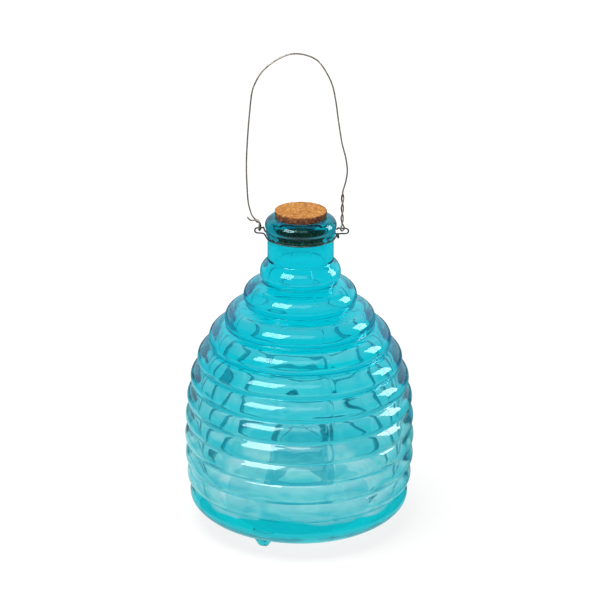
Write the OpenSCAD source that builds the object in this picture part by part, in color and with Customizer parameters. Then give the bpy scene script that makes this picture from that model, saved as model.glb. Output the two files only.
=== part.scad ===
// Hanging glass fly trap: a ribbed beehive jar with an entry funnel in its base and three feet,
// closed by a cork stopper and hung by a wire bail from a wire round its neck.
// The jar's axis is Z, the feet stand on Z = 0 and the bail lies in the XZ plane.

/* [Glass body] */
// Largest radius of the body, at the crest of its widest ring
body_r = 65.5; // [58:0.5:75]
// Number of rings between the neck and the base band
ring_count = 11; // [9:1:12]
// Height from one ring to the next
ring_pitch = 11.6; // [10:0.1:13]
// Radius of the rounded section of a ring
ring_tube = 7.4; // [6.8:0.1:8.2]
// Depth of the grooves between the rings
groove_depth = 3; // [2.2:0.1:3.6]
// Extra height of the first two steps under the neck
shoulder_stretch = 2.25; // [0:0.25:4]
// Number of rings over which the shoulder swells out
swell_rings = 3.6; // [3:0.1:4.5]
// How sharply the shoulder swells
swell_power = 1.85; // [1.5:0.05:2.2]
// How far the base band draws in from the widest ring
base_draw = 3; // [0:0.5:6]
// Height of the base band's crest over the base
base_band_z = 13; // [12:0.5:16]
// Radius of the rounded edge under the base band
base_corner = 21; // [16:0.5:24]
// Thickness of the glass in the body
wall = 3; // [2.4:0.1:3.4]

/* [Neck and mouth] */
// Outer radius of the neck
neck_r = 18.5; // [17.5:0.1:21]
// Thickness of the glass in the neck
neck_wall = 4; // [3.4:0.1:4.4]
// Height from the first ring to the collar
neck_h = 23.2; // [20:0.1:32]
// How far the collar under the lip stands out of the neck
collar_out = 0.9; // [0.6:0.1:1.4]
// Radius of the collar's rounded section
collar_tube = 2.6; // [2.4:0.1:3]
// How far the lip stands out of the neck
lip_out = 1.5; // [1.2:0.1:2.5]
// Radius of the lip's rounded section
lip_tube = 4.75; // [4.4:0.05:5]
// Height from the collar to the lip
lip_step = 4.2; // [3.8:0.1:5]

/* [Entry funnel] */
// Radius of the entry hole at the top of the funnel
throat_r = 15; // [10:0.5:18]
// Height of the funnel over the base
funnel_h = 37; // [30:1:46]
// Radius of the flare where the base turns up into the funnel
funnel_flare = 13; // [9:0.5:15]
// How far the funnel narrows from its flare to its top
funnel_taper = 1.5; // [0.5:0.1:3]

/* [Feet] */
// Number of feet
foot_count = 3; // [3:1:4]
// Height of a foot under the base
foot_h = 6; // [4:0.5:7]
// Radius of a foot's round tip
foot_r = 4.2; // [3.8:0.1:4.8]
// How far a foot's sides lean out to its root, in degrees
foot_lean = 28; // [20:1:34]
// Distance of the feet from the axis
foot_pcr = 43; // [40:0.5:46]
// Direction of the first foot, in degrees from +X
foot_turn = 243; // [0:1:359]

/* [Cork stopper] */
// Radius of the stopper's top
cork_top_r = 14.7; // [14.3:0.1:15.2]
// Radius of the stopper's lower end
cork_end_r = 12.7; // [12:0.1:13]
// Height of the stopper
cork_h = 16.5; // [14:0.5:19]
// Height of the stopper that stands over the lip
cork_proud = 4.2; // [2:0.1:6]
// Bevel of the stopper's edges
cork_bevel = 0.6; // [0.2:0.1:1]
// Radial clearance between the stopper and its seat in the mouth
cork_gap = 0.15; // [0.1:0.05:0.3]

/* [Wires] */
// Diameter of both wires
wire_d = 0.9; // [0.8:0.05:1]
// Clear gap between two strands that pass each other
strand_gap = 0.5; // [0.45:0.05:0.7]
// Gap between the neck wire and the glass that it lies against
seat_gap = 0.2; // [0.15:0.05:0.3]
// Height of the bail's hinge axis over the neck wire
hinge_rise = 4.4; // [4.2:0.1:5]
// Half turns of the bail's long twist
long_twist = 3; // [1:2:5]
// Half turns of the bail's short twist
short_twist = 1; // [1:2:3]
// Height of the long twist over the hinge axis
long_twist_h = 20.5; // [18:0.5:24]

/* [Hidden] */
$fn = 96;
over = 1;                                   // how far cuts run past what they cut
wire_sides = 8;
wire_r = wire_d / 2;
strand = wire_d + strand_gap;               // distance between the middles of two strands

// Heights of the jar, from the floor up
base_z = foot_h;
base_kick = 0.5;                            // the base is drawn up a little inside its rounded edge
base_face_z = base_z + base_kick;
floor_z = base_face_z + wall;
collar_z = ring_z(0) + neck_h;
collar_r = neck_r + collar_out;
lip_z = collar_z + lip_step;
lip_r = neck_r + lip_out;
mouth_z = lip_z + lip_tube;
bore_r = neck_r - neck_wall;
neck_root = 0.8 * ring_tube;                // how high the neck goes into the first ring
neck_foot_z = ring_z(0) + neck_root;
funnel_top_z = base_z + funnel_h;
funnel_bead = 0.62 * wall;                  // radius of the funnel's rounded top, over half its wall
foot_flat = 0.7;                            // how much of a foot's tip is ground off flat
foot_root = 0.8 * wall;                     // how far a foot goes into the base

// The stopper and its seat share one taper
cork_top_z = mouth_z + cork_proud;
cork_end_z = cork_top_z - cork_h;
cork_slope = (cork_top_r - cork_end_r) / cork_h;
seat_low_z = lip_z - lip_tube / 2;
function seat_r(z) = cork_end_r + (z - cork_end_z) * cork_slope + cork_gap;
seat_foot_z = seat_low_z - (bore_r - seat_r(seat_low_z));

// Height and crest radius of ring k, counted down from the neck; ring_count is the base band
function ring_z(k) =
  base_z + base_band_z + (ring_count - k) * ring_pitch + max(0, 2 - k) * shoulder_stretch;
function swell(k) = 1 - exp(-pow((k + 1) / swell_rings, swell_power));
function draw_in(k) = base_draw * pow(max(0, k - ring_count + 3) / 3, 2);
function ring_r(k) = neck_r + (body_r - neck_r) * swell(k) - draw_in(k);
base_r = ring_r(ring_count);

// The rounded edge is a circle that touches the base's plane and runs up into the base band's ring
edge_bite = 0.12;                           // how far the circle ends inside the ring, so that the two cross
edge_reach = base_corner - ring_tube + edge_bite;
edge_fall = (base_corner - base_band_z) / edge_reach;
edge_c = [base_r - ring_tube - edge_reach * sqrt(1 - pow(edge_fall, 2)), base_z + base_corner];
function edge_top_z(inset) = ring_z(ring_count) - (ring_tube - inset) * edge_fall;

// The neck wire lies against the neck and the collar's underside at once
lip_c = [lip_r - lip_tube, lip_z];
collar_c = [collar_r - collar_tube, collar_z];
seat_reach = wire_r + seat_gap;
groove_r = neck_r + seat_reach;
groove_z = collar_z - sqrt(pow(collar_tube + seat_reach, 2) - pow(groove_r - collar_c[0], 2));

// Hinge of the bail: the upper strand of each neck wire eye is a straight pin along X
hinge_z = groove_z + hinge_rise;
side_play = 0.4;                            // room along the pin at each side of the bail's loop
eye_play = 0.2;                             // extra room under the loop
eye_h = 2 * strand + eye_play;              // from the pin down to the eye's lower strand
pin_in = lip_r + wire_r + strand_gap;       // where the wire turns into the pin, clear of the lip
pin_bend = 0.9;                             // radius of that turn
loop_in = pin_in + wire_d + side_play;      // where the bail's loop round the pin starts
right_spread = 1;                           // half the width of the loop along the pin
left_spread = 0.5;
right_loop = loop_in + right_spread;
left_loop = loop_in + left_spread;
right_pin_out = right_loop + right_spread + wire_r + side_play;
left_pin_out = left_loop + left_spread + wire_r + side_play;
twist_start = 2.2 * strand;                 // height over the pin where the two strands start to twist

// Route of the bail's arms by hand: [distance out from the loop, height over the hinge]
left_arm = [
  [4.1, 6.8], [5.4, 10.2], [6.4, 14.5], [7, 21.4], [7.5, 36], [6.9, 51.5], [5.7, 67], [4.4, 78.3], [3.2, 82.2],
  [-0.7, 89.3], [-7.5, 95.5], [-14.6, 99.2],
];
right_arm = [
  [-26.5, 100], [-20, 98.9], [-14.6, 96], [-10.7, 91], [-6.8, 83.1], [-4.7, 74.1], [-3, 62.2], [-0.9, 49.6],
  [1.4, 40.4], [2.2, 33.5], [1.5, 27.7],
];
// The short twist leans out, and its free end curves off to the side
left_lean = [2.5, 4.8];
tail = [[4.4, 4.5], [5.9, 5.2], [7.1, 6.6]];

function unit(v) = v / norm(v);

// Points on a circle about [0, 0]
function arc(r, from, to, steps) = [
  for (i = [0:steps])
    let (a = from + (to - from) * i / steps) r * [cos(a), sin(a)],
];

// One strand of a twist about the line from low to high in the XZ plane
half_turn_steps = 6;
function twist(low, high, half_turns, phase) =
  let (along = unit(high - low), side = [along[2], 0, -along[0]], steps = half_turns * half_turn_steps)
  [for (i = [0:steps])
    let (a = phase + 180 * half_turns * i / steps, middle = low + (high - low) * i / steps)
    middle + strand / 2 * (cos(a) * side + sin(a) * [0, 1, 0])];

// Half loop of the bail under a pin, from the front strand to the back one
function pin_loop(middle, spread) =
  [for (p = arc(1, 180, 360, 8)) [middle + spread * p[0], strand * p[0], hinge_z + strand * p[1]]];

// Catmull-Rom curve through points, with steps pieces from each point to the next
function curve_at(a, b, c, d, t) =
  0.5 * (2 * b + (c - a) * t + (2 * a - 5 * b + 4 * c - d) * t * t + (3 * b - a - 3 * c + d) * t * t * t);
function curve(p, steps) = [
  for (i = [0:len(p) - 2])
    let (a = p[max(i - 1, 0)], d = p[min(i + 2, len(p) - 1)])
    for (s = [0:steps - 1]) curve_at(a, p[i], p[i + 1], d, s / steps),
  p[len(p) - 1],
];
function reversed(p) = [for (i = [len(p) - 1:-1:0]) p[i]];

// Neck wire: tucked end, right eye, front of the neck, left eye, back of the neck, hooked end
function groove_arc(from, to, steps) = [for (p = arc(groove_r, from, to, steps)) [p[0], p[1], groove_z]];
function eye(side, pin_out) = [
  for (p = arc(pin_bend, 180, 90, 2)) [side * (pin_in + pin_bend + p[0]), pin_bend - p[1], hinge_z],
  [side * (pin_in + 2 * pin_bend), 0, hinge_z],
  [side * pin_out, 0, hinge_z],
  for (p = arc(eye_h / 2, 60, -60, 4)) [side * (pin_out + p[0]), 0, hinge_z - eye_h / 2 + p[1]],
  [side * pin_out, 0, hinge_z - eye_h],
  [side * (pin_in + 1.2), -0.2, hinge_z - eye_h],
];
low_z = hinge_z - eye_h;
neck_ends_deg = 34;                         // where the wire leaves the neck for the eyes
tuck = [[groove_r + 0.9, 4.6, hinge_z - 2.2], [pin_in - 0.1, 2.4, hinge_z - 0.6]];
function front_lead(side) = [
  [side * (pin_in - 0.6), -2.2, low_z + 0.2],
  [side * (pin_in - 1.6), -5, low_z - 0.35],
  [side * (groove_r - 1.2), -8, groove_z + 0.1],
];
back_lead = [[-pin_in + 0.2, 2.5, hinge_z - 0.6], [-groove_r - 0.4, 4.6, groove_z + 0.5]];
hook_z = low_z - strand - 0.1;
hook = [
  [groove_r + 0.6, 6.4, groove_z - 0.9],
  [pin_in - 0.1, 3, low_z - 1.1],
  [pin_in - 0.4, -0.6, hook_z],
  [pin_in - 0.2, -2.9, hook_z],
  [pin_in + 0.1, -4.3, low_z - 0.7],
  [pin_in - 0.1, -4.6, low_z + 0.9],
];
neck_route = concat(
  tuck, eye(1, right_pin_out), front_lead(1), groove_arc(-neck_ends_deg, neck_ends_deg - 180, 14),
  reversed(front_lead(-1)), reversed(eye(-1, left_pin_out)), back_lead,
  groove_arc(180 - neck_ends_deg, neck_ends_deg + 8, 14), hook
);
neck_path = curve(neck_route, 2);

// Bail: free tail, short twist up, loop round the left pin, short twist back, arms, long twist down,
// loop round the right pin, long twist back to its end
function left_at(p, y = 0) = [-left_loop - p[0], y, hinge_z + p[1]];
function right_at(p) = [right_loop + p[0], 0, hinge_z + p[1]];
left_low = left_at([0.3, twist_start]);
left_high = left_at(left_lean);
right_low = right_at([-0.3, twist_start]);
right_high = right_at([-0.2, long_twist_h]);
bail_path = concat(
  [for (p = reversed(tail)) left_at(p, -strand / 2)],
  reversed(twist(left_low, left_high, short_twist, 90)),
  reversed(pin_loop(-left_loop, left_spread)),
  twist(left_low, left_high, short_twist, -90),
  curve(concat([for (p = left_arm) left_at(p)], [for (p = right_arm) right_at(p)]), 3),
  reversed(twist(right_low, right_high, long_twist, -90)),
  pin_loop(right_loop, right_spread),
  twist(right_low, right_high, long_twist, 90)
);

// Least clear gap of a wire to itself, between points and mid-points that lie apart along it
apart = 4 * wire_d;
function halved(p) = [for (i = [0:len(p) - 2]) each [p[i], (p[i] + p[i + 1]) / 2]];
function run(p, i, s) = i == len(p) - 1 ? [s] : concat([s], run(p, i + 1, s + norm(p[i + 1] - p[i])));
function least_gap(p, s) = min([
  for (i = [0:len(p) - 2]) for (j = [i + 1:len(p) - 1]) if (s[j] - s[i] > apart) norm(p[i] - p[j])
]) - wire_d;
function self_gap(path) = let (p = halved(path)) least_gap(p, run(p, 0, 0));
echo(neck_wire_gap = self_gap(neck_path), bail_wire_gap = self_gap(bail_path));

// Round wire swept along a path, with its section carried along without turning
function heading(p, i) = unit(p[min(i + 1, len(p) - 1)] - p[max(i - 1, 0)]);
function carried(p, i, n) = let (t = heading(p, i)) unit(n - (n * t) * t);
function normals(p, i, n) = i == len(p) ? [] : let (m = carried(p, i, n)) concat([m], normals(p, i + 1, m));

module wire(path) {
  first_side = [0.6, 0.64, 0.48];           // a direction that neither wire starts along
  side = normals(path, 0, first_side);
  rings = len(path);
  points = [
    for (i = [0:rings - 1])
      let (t = heading(path, i), n = side[i], b = cross(t, n))
      for (s = [0:wire_sides - 1])
        let (a = 360 * s / wire_sides) path[i] + wire_r * (cos(a) * n + sin(a) * b),
  ];
  function at(i, s) = i * wire_sides + s % wire_sides;
  walls = [
    for (i = [0:rings - 2]) for (s = [0:wire_sides - 1])
      each [[at(i, s), at(i, s + 1), at(i + 1, s + 1)], [at(i, s), at(i + 1, s + 1), at(i + 1, s)]],
  ];
  ends = [
    for (s = [1:wire_sides - 2])
      each [[at(0, 0), at(0, s + 1), at(0, s)], [at(rings - 1, 0), at(rings - 1, s), at(rings - 1, s + 1)]],
  ];
  polyhedron(points, concat(walls, ends), convexity = 10);
}

// Half section of the body: rounded rings on a core, drawn in by inset for the inside of the glass.
// The core starts at the height bottom and ends with the points of the neck.
module body_section(inset, bottom, neck) {
  for (k = [0:ring_count])
    translate([ring_r(k) - ring_tube, ring_z(k)])
      circle(ring_tube - inset);
  intersection() {
    translate(edge_c)
      circle(base_corner - inset);
    square([base_r, edge_top_z(inset)]);
  }
  polygon(concat(
    [[0, bottom], [edge_c[0], bottom]],
    [for (k = [ring_count:-1:0]) [ring_r(k) - groove_depth - inset, ring_z(k)]],
    neck
  ));
}

// Rounded lip and collar at the mouth
module finish_section() {
  translate(lip_c)
    circle(lip_tube);
  translate(collar_c)
    circle(collar_tube);
}

// Tapered seat for the stopper, open at the top of the mouth
module seat_section() {
  top_z = mouth_z + over;
  polygon([
    [0, seat_foot_z - over], [bore_r, seat_foot_z - over], [bore_r, seat_foot_z],
    [seat_r(seat_low_z), seat_low_z], [seat_r(top_z), top_z], [0, top_z],
  ]);
}

// Space under the base that turns up into the funnel, widened by glass for the funnel's wall
module funnel_section(glass, top_z) {
  flare_z = base_face_z + funnel_flare;
  flare_r = throat_r + funnel_taper + funnel_flare;
  polygon([
    [0, base_face_z - over], [flare_r - funnel_flare + glass, base_face_z - over],
    [flare_r - funnel_flare + glass, flare_z], [throat_r + glass, top_z], [0, top_z],
  ]);
  difference() {
    translate([0, base_face_z - over])
      square([flare_r, funnel_flare + over]);
    translate([flare_r, flare_z])
      circle(funnel_flare - glass);
  }
}

// Half section of the whole jar
module jar_section() {
  outer_neck = [[neck_r, neck_foot_z], [neck_r, collar_z], lip_c, [0, lip_z]];
  inner_neck = [[bore_r, neck_foot_z], [bore_r, seat_foot_z - over / 2], [0, seat_foot_z - over / 2]];
  difference() {
    union() {
      body_section(0, base_face_z, outer_neck);
      finish_section();
    }
    difference() {
      body_section(wall, floor_z, inner_neck);
      funnel_section(wall, funnel_top_z);
    }
    funnel_section(0, funnel_top_z + over);
    seat_section();
    translate([-2 * body_r, 0])
      square([2 * body_r, mouth_z + over]);
  }
  translate([throat_r + wall / 2, funnel_top_z])
    circle(funnel_bead);
}

// One foot: a round tip with a flat under it, on a mound with its root in the thickness of the base
module foot() {
  tip_z = foot_r - foot_flat;
  root_z = base_z + foot_root;
  tip = [for (p = arc(foot_r, -asin(tip_z / foot_r), -foot_lean, 5)) p + [0, tip_z]];
  lean_from = tip[len(tip) - 1];
  root_r = lean_from[0] + (root_z - lean_from[1]) * tan(foot_lean);
  rotate_extrude()
    polygon(concat([[0, 0]], tip, [[root_r, root_z], [0, root_z]]));
}

module glass_jar() {
  color("darkturquoise", 0.6) {
    rotate_extrude()
      jar_section();
    for (i = [0:foot_count - 1])
      rotate(foot_turn + 360 * i / foot_count)
        translate([foot_pcr, 0, 0])
          foot();
  }
}

module cork_stopper() {
  color("peru")
    rotate_extrude()
      polygon([
        [0, cork_end_z],
        [cork_end_r - cork_bevel, cork_end_z],
        [cork_end_r + cork_bevel * cork_slope, cork_end_z + cork_bevel],
        [cork_top_r - cork_bevel * cork_slope, cork_top_z - cork_bevel],
        [cork_top_r - cork_bevel, cork_top_z],
        [0, cork_top_z],
      ]);
}

module neck_wire() {
  color("dimgray")
    wire(neck_path);
}

module bail_wire() {
  color("dimgray")
    wire(bail_path);
}

glass_jar();
cork_stopper();
neck_wire();
bail_wire();
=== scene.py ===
"""Looks of a hanging glass fly trap: turquoise ribbed glass, a cork stopper and weathered wire.

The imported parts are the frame. Sizes are in millimetres and repeat those of the construction, angles are in
degrees, and every mesh is in metres in the frame's own place.
"""
import logging
import math
from dataclasses import dataclass
from enum import Enum
from typing import Any, ClassVar

import bmesh
import bpy
import numpy as np
from bpy.types import ID, Material, Node, NodeSocket, NodeTree, Object
from mathutils import Matrix, Vector, noise


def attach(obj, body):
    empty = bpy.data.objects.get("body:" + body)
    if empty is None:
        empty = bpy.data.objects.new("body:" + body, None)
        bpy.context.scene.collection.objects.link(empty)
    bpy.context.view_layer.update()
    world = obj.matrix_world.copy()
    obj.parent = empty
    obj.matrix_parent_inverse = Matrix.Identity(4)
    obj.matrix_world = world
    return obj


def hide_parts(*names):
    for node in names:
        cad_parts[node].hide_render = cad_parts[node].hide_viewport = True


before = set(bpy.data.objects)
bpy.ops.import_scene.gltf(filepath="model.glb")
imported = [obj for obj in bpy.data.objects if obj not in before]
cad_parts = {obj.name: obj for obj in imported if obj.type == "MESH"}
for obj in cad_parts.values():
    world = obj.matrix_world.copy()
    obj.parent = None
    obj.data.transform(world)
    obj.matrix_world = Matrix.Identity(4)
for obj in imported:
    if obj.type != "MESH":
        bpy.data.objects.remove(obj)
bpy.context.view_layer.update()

MM = 0.001
WHITE = "#FFFFFF"
NOISE_MIDDLE = 0.5  # a noise texture runs from 0 to 1 about this
HALF_TURN = 0.5  # ray depths are whole numbers, so a limit lies half way between two of them
Pair = tuple[float, float]
Feed = Node | NodeSocket  # what an input of a node can be linked to
log = logging.getLogger("fly_trap")


class Side(Enum):
    """Side of the hanger, as the sign of X."""

    LEFT = -1
    RIGHT = 1


class Skin(Enum):
    """Stretch of the glass's section, with how far its surface ripples, in millimetres."""

    OUTSIDE = 0.1
    UNDERSIDE = 0.08
    BORE = 0.07
    INSIDE = 0.45
    SEAT = 0.0


def linear(colour: str) -> tuple[float, float, float, float]:
    """Turns an sRGB hex colour to linear.

    Args:
        colour: the colour as "#rrggbb".

    Returns:
        Linear red, green and blue, and an alpha of 1.
    """
    parts = [int(colour[i:i + 2], 16) / 255 for i in (1, 3, 5)]
    flat = [c / 12.92 if c <= 0.04045 else ((c + 0.055) / 1.055) ** 2.4 for c in parts]
    return flat[0], flat[1], flat[2], 1.0


def per_metre(size_mm: float) -> float:
    """Scale of a pattern in metres whose cells are size_mm wide."""
    return 1 / (size_mm * MM)


def add_node(tree: NodeTree, kind: str, inputs: dict[Any, Any] | None = None, **settings: Any) -> Node:
    """Adds a node with its settings, values and links.

    Args:
        tree: the tree that gets the node.
        kind: Blender's name for the shader node's type, without its first two words.
        inputs: input's name or number to a value, to the output that feeds it, or to a node whose first output in
            use does.
        settings: the node's own properties.

    Returns:
        The new node.
    """
    node = tree.nodes.new("ShaderNode" + kind)
    for name, value in settings.items():
        setattr(node, name, value)
    for name, value in (inputs or {}).items():
        if isinstance(value, Node):
            value = next(output for output in value.outputs if output.enabled)
        if isinstance(value, NodeSocket):
            tree.links.new(value, node.inputs[name])
        else:
            node.inputs[name].default_value = value
    return node


def turns_over(tree: NodeTree, turns: int) -> Node:
    """1 for light that has turned more than so many times, and 0 for other light."""
    depth = add_node(tree, "LightPath").outputs["Ray Depth"]
    return add_node(tree, "Math", {0: depth, 1: turns + HALF_TURN}, operation="GREATER_THAN")


def limits(end: str, pair: Pair, unit: float = 1.0) -> dict[str, float]:
    """Lowest and highest input of a range, "From" or "To", from a pair of sizes."""
    return {f"{end} Min": pair[0] * unit, f"{end} Max": pair[1] * unit}


def set_ramp(node: Node, stops: tuple[tuple[float, str], ...]) -> None:
    """Sets a colour ramp's stops.

    Args:
        node: the ramp.
        stops: place from 0 to 1 and hex colour of each stop.
    """
    elements = node.color_ramp.elements
    while len(elements) < len(stops):
        elements.new(0.5)
    for element, (place, colour) in zip(elements, stops):
        element.position = place
        element.color = linear(colour)


def cleared_tree(owner: ID) -> NodeTree:
    """Empties a node tree.

    Args:
        owner: the material, world or lamp that has it.

    Returns:
        The tree.
    """
    owner.use_nodes = True
    owner.node_tree.nodes.clear()
    return owner.node_tree


def new_material(name: str) -> tuple[Material, NodeTree]:
    """Makes an empty node material.

    Args:
        name: the material's name.

    Returns:
        The material and its cleared tree.
    """
    material = bpy.data.materials.new(name)
    return material, cleared_tree(material)


def linked_object(name: str, data: ID) -> Object:
    """Makes an object and links it to the scene.

    Args:
        name: the object's name.
        data: its mesh, lamp or camera.

    Returns:
        The new object.
    """
    made = bpy.data.objects.new(name, data)
    bpy.context.scene.collection.objects.link(made)
    return made


def mesh_object(name: str, points: np.ndarray, faces: list[tuple[int, ...]], material: Material) -> Object:
    """Makes a smooth-shaded closed mesh with its faces turned outwards.

    Args:
        name: the piece's name.
        points: corners, in millimetres.
        faces: corner numbers of each face.
        material: the finish of the whole piece.

    Returns:
        The new object, linked to the scene.
    """
    mesh = bpy.data.meshes.new(name)
    mesh.from_pydata((points * MM).tolist(), [], faces)
    work = bmesh.new()
    work.from_mesh(mesh)
    bmesh.ops.recalc_face_normals(work, faces=work.faces)
    work.to_mesh(mesh)
    work.free()
    mesh.shade_smooth()
    mesh.materials.append(material)
    return linked_object(name, mesh)


def grid_faces(columns: int, rows: int, round_columns: bool = True,
               round_rows: bool = True) -> list[tuple[int, ...]]:
    """Faces of a grid of corners that are numbered column by column.

    Args:
        columns: number of columns.
        rows: number of corners in each.
        round_columns: whether the last column joins the first.
        round_rows: whether the last row joins the first.

    Returns:
        The four corners of each face.
    """
    return [(c * rows + r, c * rows + (r + 1) % rows,
             (c + 1) % columns * rows + (r + 1) % rows, (c + 1) % columns * rows + r)
            for c in range(columns if round_columns else columns - 1)
            for r in range(rows if round_rows else rows - 1)]


def unit(vectors: np.ndarray) -> np.ndarray:
    """Vectors of length 1 with the same headings."""
    return vectors / np.linalg.norm(vectors, axis=-1, keepdims=True)


def turned(spot: np.ndarray, turn: float) -> np.ndarray:
    """Point of a turned shape, from its radius and height and the angle round the axis in radians."""
    return np.array([spot[0] * math.cos(turn), spot[0] * math.sin(turn), spot[1]])


def arc(centre: Pair, radius: float, start: float, end: float, step: float = 4.0) -> np.ndarray:
    """Points on a circular arc.

    Args:
        centre: middle of the circle.
        radius: its radius.
        start: angle of the first point, in degrees.
        end: angle of the last point, in degrees.
        step: largest angle between two points, in degrees.

    Returns:
        One row for each point.
    """
    count = max(2, math.ceil(abs(end - start) / step) + 1)
    angles = np.radians(np.linspace(start, end, count))
    return np.array(centre) + radius * np.stack([np.cos(angles), np.sin(angles)], 1)


def smooth_step(value: np.ndarray, low: float, high: float) -> np.ndarray:
    """Soft rise from 0 at low to 1 at high."""
    share = np.clip((value - low) / (high - low), 0, 1)
    return share * share * (3 - 2 * share)


def soft_max(values: np.ndarray, round_mm: float) -> np.ndarray:
    """Largest of several outlines, with the corner between two of them rounded.

    Args:
        values: one row for each outline.
        round_mm: size of the rounding.

    Returns:
        The joined outline.
    """
    top = values.max(0)
    return top + round_mm * np.log(np.exp((values - top) / round_mm).sum(0))


def ripple(point: np.ndarray, size_mm: float, seed: float) -> float:
    """Smooth noise from about -1 to 1, with waves about size_mm long."""
    return noise.noise(Vector(point / size_mm) + Vector((seed, 2 * seed, 3 * seed)))


@dataclass(frozen=True)
class BlownGlass:
    """Soda-lime glass, blown in a mould and stained turquoise.

    Fire-polished and clear: sharp reflections and pale glints along the grooves, the glints partly a painted
    reflection.
    The stain lies on the outside. It is patchy low down, deeper in the thick turn of the rim and thin under the
    base; the inside is almost clear. Painted light lies on the stain: the pale low body is partly a painted
    reflection of the white floor, a painted reflection lies near the top of each lower rib, and the deep rim is
    partly painted shade, for the shaded floor under the jar that it reflects; the rim and the ribs' painted
    reflection show only from outside. Light that turns back inside the wall is coloured too, so the marks that the
    ribs make are deep blue and not grey, and light that has turned more than turns_kept times is let straight out,
    deep in colour, so that none of it ends in black.
    """

    name: str = "turquoise_stained_glass"
    # deep rim colour: thick glass, and partly painted shade for the shaded floor under the jar that the rim
    # reflects
    rim_stain_and_shade_colour: str = "#00AEBC"
    # pale low colour: random stain patches, and partly a painted reflection of the white floor
    low_stain_and_reflection_colour: str = "#68CFD4"
    streak_colour: str = "#1EB6C6"
    high_colour: str = "#00BFD5"
    lip_colour: str = "#00788C"
    base_colour: str = "#A2E2E8"
    # pale colour of the painted reflection near the top of each rib
    painted_reflection_colour: str = "#D2F0F6"
    base_mm: Pair = (6.0, 10.5)
    rim_mm: Pair = (23.5, 28.0)
    rim_wave_mm: float = 9.0
    height_mm: float = 183.0
    tint_range: Pair = (0.1, 0.9)
    tint_stops: tuple[float, ...] = (0.13, 0.19, 0.26, 0.33, 0.4, 0.6, 0.83, 0.87)
    streak_mm: float = 26.0
    streak_rise: float = 2.2
    streak_depth: Pair = (1.0, 0.2)
    streak_top_mm: float = 95.0
    # painted reflection near the top of each rib: strength, start up the rib, noise range, least share, fade
    # heights, share left high up
    painted_reflection_strength: float = 0.8
    painted_reflection_start: float = 0.6
    painted_reflection_noise: Pair = (0.35, 0.6)
    painted_reflection_least: float = 0.25
    painted_reflection_fade_mm: Pair = (45.0, 100.0)
    painted_reflection_high: float = 0.06
    groove_mm: float = 24.1
    groove_step_mm: float = 11.85
    ior: float = 1.52
    within: float = 0.36
    stain: float = 0.5
    turns_kept: int = 9

    def tint(self, tree: NodeTree, height: Feed, uneven: Feed) -> Feed:
        """Colours the glass by height, patchiest low down, where its pale colour is partly a painted reflection.

        Args:
            tree: the glass's tree.
            height: height over the frame's origin.
            uneven: noise about zero.

        Returns:
            The colour.
        """
        share = add_node(tree, "MapRange", {
            "Value": height, "From Max": self.height_mm * MM, **limits("To", self.tint_range)})
        deep = add_node(tree, "MapRange", {
            "Value": height, "From Max": self.streak_top_mm * MM, **limits("To", self.streak_depth)})
        patchy = add_node(tree, "Math", {0: uneven, 1: deep, 2: share}, operation="MULTIPLY_ADD")
        tint = add_node(tree, "ValToRGB", {"Fac": patchy})
        streak, low, high = self.streak_colour, self.low_stain_and_reflection_colour, self.high_colour
        # the pale low stops are partly a painted reflection of the white floor
        colours = (streak, low, streak, low, streak, high, high, self.lip_colour)
        set_ramp(tint, tuple(zip(self.tint_stops, colours)))
        return tint

    def painted_reflection_share(self, tree: NodeTree, height: Feed, patches: Feed) -> Feed:
        """Works out the share of painted reflection: most at the top of each rib, and less higher up the jar.

        Args:
            tree: the glass's tree.
            height: height over the frame's origin.
            patches: noise from 0 to 1 that makes it uneven.

        Returns:
            The share of the pale painted reflection colour.
        """
        ribs = add_node(tree, "Math", {
            0: height, 1: per_metre(self.groove_step_mm), 2: -self.groove_mm / self.groove_step_mm},
            operation="MULTIPLY_ADD")
        up_rib = add_node(tree, "Math", {0: ribs}, operation="FRACT")
        fade = add_node(tree, "MapRange", {
            "Value": height, **limits("From", self.painted_reflection_fade_mm, MM),
            "To Min": self.painted_reflection_strength, "To Max": self.painted_reflection_high * self.painted_reflection_strength})
        broken = add_node(tree, "MapRange", {
            "Value": patches, **limits("From", self.painted_reflection_noise), "To Min": self.painted_reflection_least})
        most = add_node(tree, "Math", {0: fade, 1: broken}, operation="MULTIPLY")
        return add_node(tree, "MapRange", {"Value": up_rib, "From Min": self.painted_reflection_start, "To Max": most})

    def colour(self, tree: NodeTree, facing: Feed) -> Feed:
        """Joins the tint, the ribs' painted reflection, the thin base and the deep rim, partly painted shade.

        Args:
            tree: the glass's tree.
            facing: 1 where light meets the surface from within; the rim and painted reflection show only from
                outside.

        Returns:
            The colour of the surface.
        """
        place = add_node(tree, "TexCoord").outputs["Object"]
        height = add_node(tree, "SeparateXYZ", {0: place}).outputs["Z"]
        drawn = add_node(tree, "VectorMath", {0: place, 1: (1.0, 1.0, self.streak_rise)}, operation="MULTIPLY")
        patches = add_node(tree, "TexNoise", {
            "Vector": drawn, "Scale": per_metre(self.streak_mm), "Detail": 2.0, "Roughness": 0.5})
        uneven = add_node(tree, "Math", {0: patches, 1: NOISE_MIDDLE}, operation="SUBTRACT")
        # painted reflection: pale light painted near the top of each rib, only where light comes from outside
        painted_reflection_share = add_node(tree, "Mix", {0: facing, 2: self.painted_reflection_share(tree, height, patches), 3: 0.0})
        reflection_painted = add_node(tree, "Mix", {
            0: painted_reflection_share, 6: self.tint(tree, height, uneven), 7: linear(self.painted_reflection_colour)}, data_type="RGBA")
        over_base = add_node(tree, "MapRange", {"Value": height, **limits("From", self.base_mm, MM)})
        thinned = add_node(tree, "Mix", {0: over_base, 6: linear(self.base_colour), 7: reflection_painted}, data_type="RGBA")
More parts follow.
